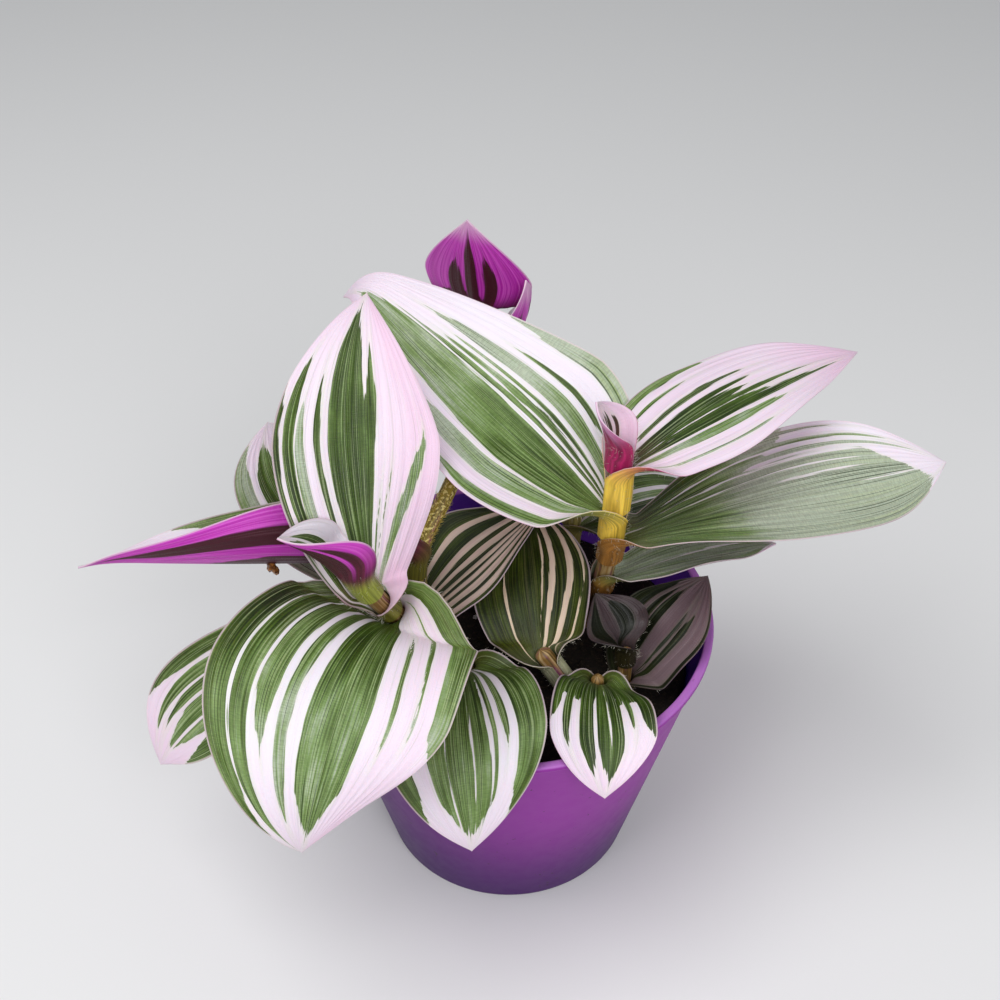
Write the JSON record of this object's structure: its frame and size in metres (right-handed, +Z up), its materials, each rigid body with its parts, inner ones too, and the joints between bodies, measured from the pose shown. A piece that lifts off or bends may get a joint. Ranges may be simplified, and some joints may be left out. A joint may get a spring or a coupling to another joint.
{
  "type": "potted tradescantia",
  "caption": "Small tapered plastic nursery pot of dark soil with short leafy shoots whose broad pointed leaves are striped green, white and pink.",
  "frame": {"origin": "centre of the pot's underside, where it stands", "axes": "+Z up along the pot's axis, +X towards the side with the long narrow leaves, -Y towards the side over which the broad leaf hangs"},
  "size_m": [0.2104, 0.1513, 0.1624],
  "materials": {
    "pot_plastic": "purple moulded plastic with a soft gloss and a few specks of soil",
    "soil": "moist dark peat potting soil, crumbly",
    "stem": "fleshy stem, golden brown where a papery sheath covers it",
    "leaf_green": "fleshy leaf, green with pale stripes, satin with fine hairs",
    "leaf_silver": "fleshy leaf, silvery green with pale stripes, satin",
    "leaf_pale": "fleshy leaf, pink-white with green bands, satin",
    "leaf_olive": "fleshy leaf, shaded olive with cream-pink stripes, satin",
    "leaf_magenta": "fleshy leaf seen from its magenta underside with maroon stripes, satin"
  },
  "bodies": {
    "root": {"pot": "pot_plastic", "soil": "soil", "stem_right": "stem", "stem_left": "stem", "stem_back": "stem", "stem_front": "stem", "stem_middle": "stem", "stem_low": "stem", "stem_rim": "stem", "stem_rear": "stem", "leaf_right_low": "leaf_silver", "leaf_right_long": "leaf_silver", "leaf_top_large": "leaf_silver", "leaf_right_upper": "leaf_pale", "leaf_right_rolled": "leaf_pale", "leaf_left_low": "leaf_pale", "leaf_front_large": "leaf_pale", "leaf_left_upright": "leaf_pale", "leaf_left_young": "leaf_magenta", "leaf_left_folded": "leaf_magenta", "leaf_left_behind": "leaf_silver", "leaf_centre_striped": "leaf_olive", "leaf_left_rear": "leaf_green", "leaf_bud_right": "leaf_magenta", "leaf_bud_left": "leaf_magenta", "leaf_front_hanging": "leaf_green", "leaf_centre_olive": "leaf_olive", "leaf_rim_small": "leaf_green", "leaf_low_right": "leaf_olive", "leaf_low_inner": "leaf_olive", "leaf_rear_right": "leaf_green", "leaf_rear_left": "leaf_green", "leaf_rear_young": "leaf_green"}
  },
  "joints": []
}
